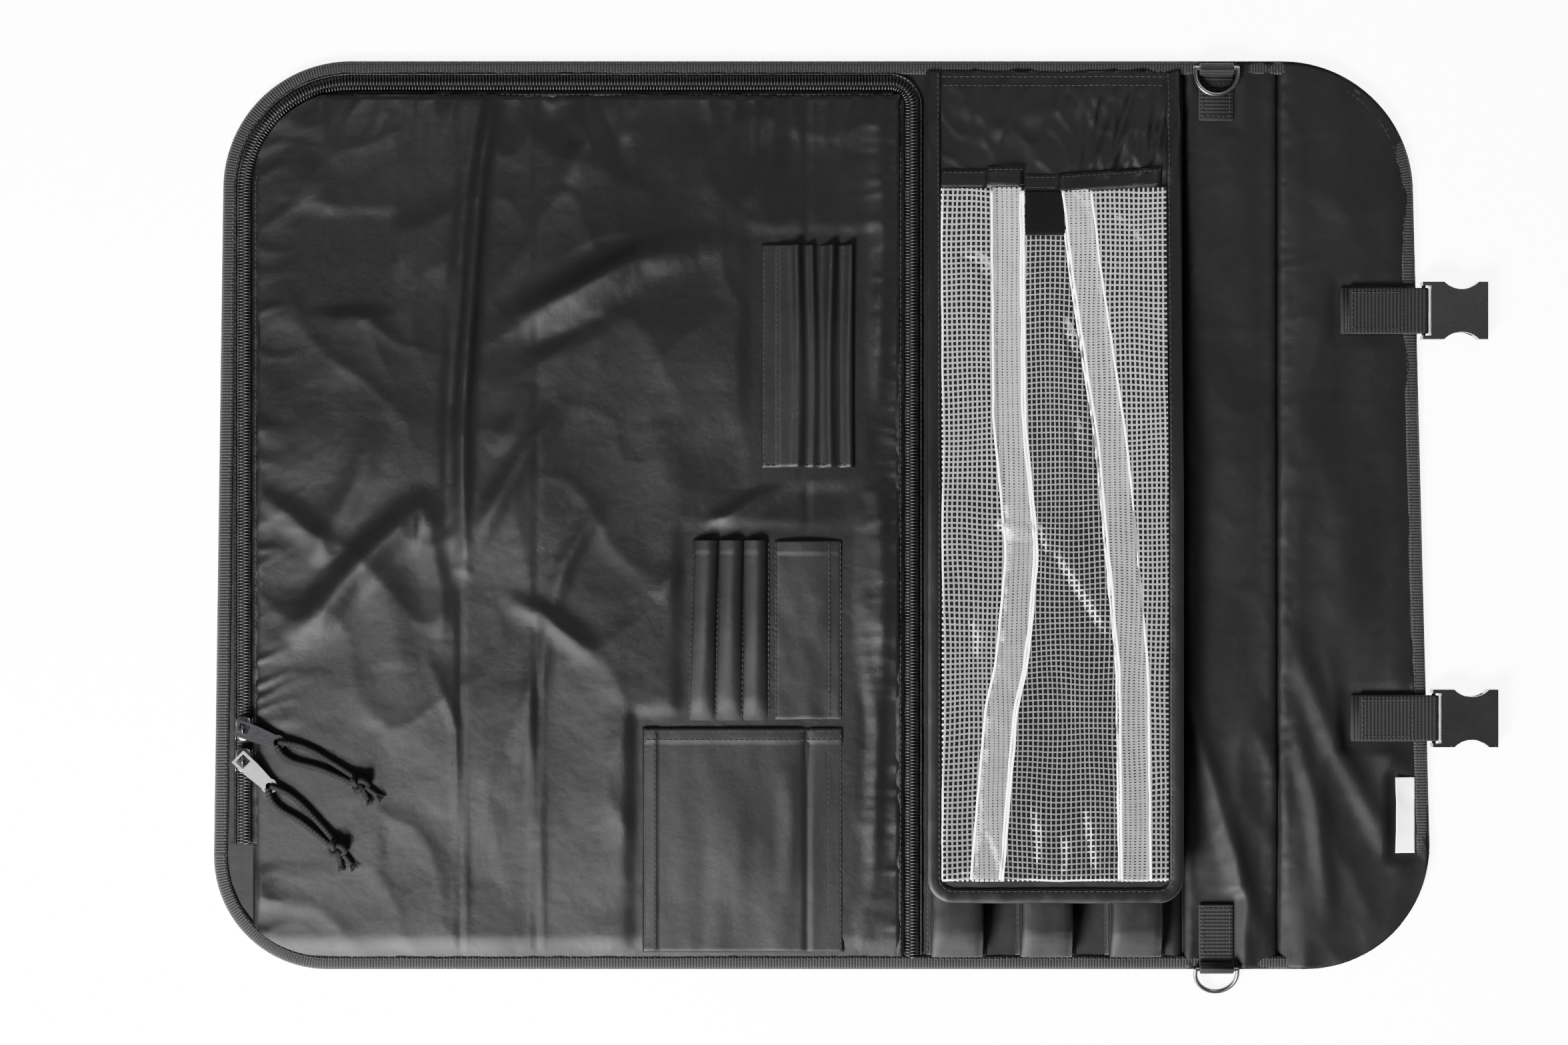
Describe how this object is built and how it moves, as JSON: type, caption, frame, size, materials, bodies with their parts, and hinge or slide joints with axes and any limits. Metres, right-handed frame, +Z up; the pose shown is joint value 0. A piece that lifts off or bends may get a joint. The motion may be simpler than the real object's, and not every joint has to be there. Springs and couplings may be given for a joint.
{
  "type": "drum stick bag",
  "caption": "Fold-up drum stick bag lying open: padded panels with zipped cover, mesh page, stick pockets, D-rings and side-release buckle sockets.",
  "frame": {"origin": "middle of the open bag's bounding box, on the surface it lies on", "axes": "+X across the panels towards the buckles, +Y towards the bag's top edge, +Z up out of the open inside"},
  "size_m": [0.699, 0.5088, 0.0214],
  "materials": {
    "pack_cloth": "coated pack cloth, matt, fine plain weave",
    "grosgrain": "ribbed tape with soft sheen",
    "shiny_nylon": "thin wrinkled nylon with a satin sheen",
    "page_cloth": "satin nylon",
    "zip_coil": "black nylon coil",
    "mesh": "open white net under clear film",
    "hook_tape": "dark hook tape",
    "nickel": "bright nickel plate",
    "black_nickel": "polished black nickel wire",
    "braid": "braided cord",
    "webbing": "woven nylon webbing",
    "buckle_plastic": "moulded acetal, satin",
    "label": "white satin care tape, blank"
  },
  "bodies": {
    "stick_panel": {"shell_stick_panel": "pack_cloth", "binding_stick_panel": "grosgrain", "stick_pocket_1": "pack_cloth", "stick_pocket_2": "pack_cloth", "stick_pocket_3": "pack_cloth"},
    "page": {"page_backing": "page_cloth", "page_binding": "grosgrain", "page_mesh_left": "mesh", "page_mesh_right": "mesh", "page_mesh_trim": "page_cloth", "page_pleat_band": "page_cloth", "page_hook_tab": "hook_tape"},
    "wide_spine": {"shell_wide_spine": "pack_cloth", "binding_wide_spine": "grosgrain", "cover_wide_spine": "shiny_nylon", "zip_wide_spine": "zip_coil", "pleated_pocket_side": "shiny_nylon", "slip_pocket_side": "shiny_nylon", "patch_pocket_side": "shiny_nylon"},
    "middle_panel": {"shell_middle_panel": "pack_cloth", "binding_middle_panel": "grosgrain", "cover_middle_panel": "shiny_nylon", "zip_middle_panel": "zip_coil", "pleated_pocket": "shiny_nylon", "pen_pockets": "shiny_nylon", "slip_pocket": "shiny_nylon", "patch_pocket": "shiny_nylon", "patch_pocket_hem": "shiny_nylon"},
    "narrow_spine": {"shell_narrow_spine": "pack_cloth", "binding_narrow_spine": "grosgrain", "cover_narrow_spine": "shiny_nylon", "zip_narrow_spine": "zip_coil"},
    "left_panel": {"shell_left_panel": "pack_cloth", "binding_left_panel": "grosgrain", "cover_left_panel": "shiny_nylon", "zip_left_panel": "zip_coil"},
    "slider_upper": {"slider_upper": "nickel"},
    "slider_lower": {"slider_lower": "nickel"},
    "pull_upper": {"pull_tab_upper": "nickel", "pull_cord_upper_a": "braid", "pull_cord_upper_b": "braid", "pull_knot_upper": "braid"},
    "pull_lower": {"pull_tab_lower": "nickel", "pull_cord_lower_a": "braid", "pull_cord_lower_b": "braid", "pull_knot_lower": "braid"},
    "ring_strip": {"shell_ring_strip": "pack_cloth", "binding_ring_strip": "grosgrain", "ring_tab_top": "webbing", "ring_tab_bottom": "webbing"},
    "ring_top": {"d_ring_top": "black_nickel"},
    "ring_bottom": {"d_ring_bottom": "black_nickel"},
    "flap": {"shell_flap": "pack_cloth", "binding_flap": "grosgrain", "buckle_strap_upper": "webbing", "buckle_strap_lower": "webbing", "care_label": "label"},
    "buckle_upper": {"buckle_upper": "buckle_plastic"},
    "buckle_lower": {"buckle_lower": "buckle_plastic"}
  },
  "joints": [
    {"name": "main_fold_spine", "type": "hinge", "parent": "stick_panel", "child": "wide_spine", "pos_m": [0.038, 0, 0.005], "axis": [0, 1, 0], "range_deg": [0, 44]},
    {"name": "main_fold_panel", "type": "hinge", "parent": "wide_spine", "child": "middle_panel", "pos_m": [-0.026, 0, 0.005], "axis": [0, 1, 0], "range_deg": [0, 136]},
    {"name": "left_fold_spine", "type": "hinge", "parent": "middle_panel", "child": "narrow_spine", "pos_m": [-0.173, 0, 0.005], "axis": [0, 1, 0], "range_deg": [0, 31]},
    {"name": "left_fold_panel", "type": "hinge", "parent": "narrow_spine", "child": "left_panel", "pos_m": [-0.2145, 0, 0.005], "axis": [0, 1, 0], "range_deg": [0, 149]},
    {"name": "strip_fold", "type": "hinge", "parent": "stick_panel", "child": "ring_strip", "pos_m": [0.1785, 0, 0.005], "axis": [0, -1, 0], "range_deg": [0, 80]},
    {"name": "flap_fold", "type": "hinge", "parent": "ring_strip", "child": "flap", "pos_m": [0.2305, 0, 0.005], "axis": [0, -1, 0], "range_deg": [0, 94]},
    {"name": "page_lift", "type": "hinge", "parent": "stick_panel", "child": "page", "pos_m": [0.10825, 0.24844, 0.0043], "axis": [1, 0, 0], "range_deg": [-110, 0]},
    {"name": "zip_upper_slide", "type": "slide", "parent": "left_panel", "child": "slider_upper", "axis": [0, 1, 0], "range_m": [0, 0.284]},
    {"name": "zip_lower_slide", "type": "slide", "parent": "left_panel", "child": "slider_lower", "axis": [0, 1, 0], "range_m": [-0.038, 0]},
    {"name": "pull_upper_lift", "type": "hinge", "parent": "slider_upper", "child": "pull_upper", "pos_m": [-0.3322, -0.10946, 0.0108], "axis": [0.3746, 0.9272, 0], "range_deg": [-44, 0]},
    {"name": "pull_lower_lift", "type": "hinge", "parent": "slider_lower", "child": "pull_lower", "pos_m": [-0.3322, -0.12656, 0.0108], "axis": [0.7071, 0.7071, 0], "range_deg": [-44, 0]},
    {"name": "ring_top_swing", "type": "hinge", "parent": "ring_strip", "child": "ring_top", "pos_m": [0.1965, 0.24944, 0.00695], "axis": [-1, 0, 0], "range_deg": [0, 170]},
    {"name": "ring_bottom_swing", "type": "hinge", "parent": "ring_strip", "child": "ring_bottom", "pos_m": [0.1965, -0.24006, 0.00695], "axis": [1, 0, 0], "range_deg": [-185, 0]},
    {"name": "buckle_upper_tilt", "type": "hinge", "parent": "flap", "child": "buckle_upper", "pos_m": [0.3095, 0.11794, 0.0045], "axis": [0, 1, 0], "range_deg": [-60, 0]},
    {"name": "buckle_lower_tilt", "type": "hinge", "parent": "flap", "child": "buckle_lower", "pos_m": [0.315, -0.10376, 0.0045], "axis": [0, 1, 0], "range_deg": [-60, 0]}
  ],
  "couplings": [
    {"joint": "main_fold_panel", "follows": "main_fold_spine", "ratio": 3.0909},
    {"joint": "left_fold_panel", "follows": "left_fold_spine", "ratio": 4.8064}
  ]
}
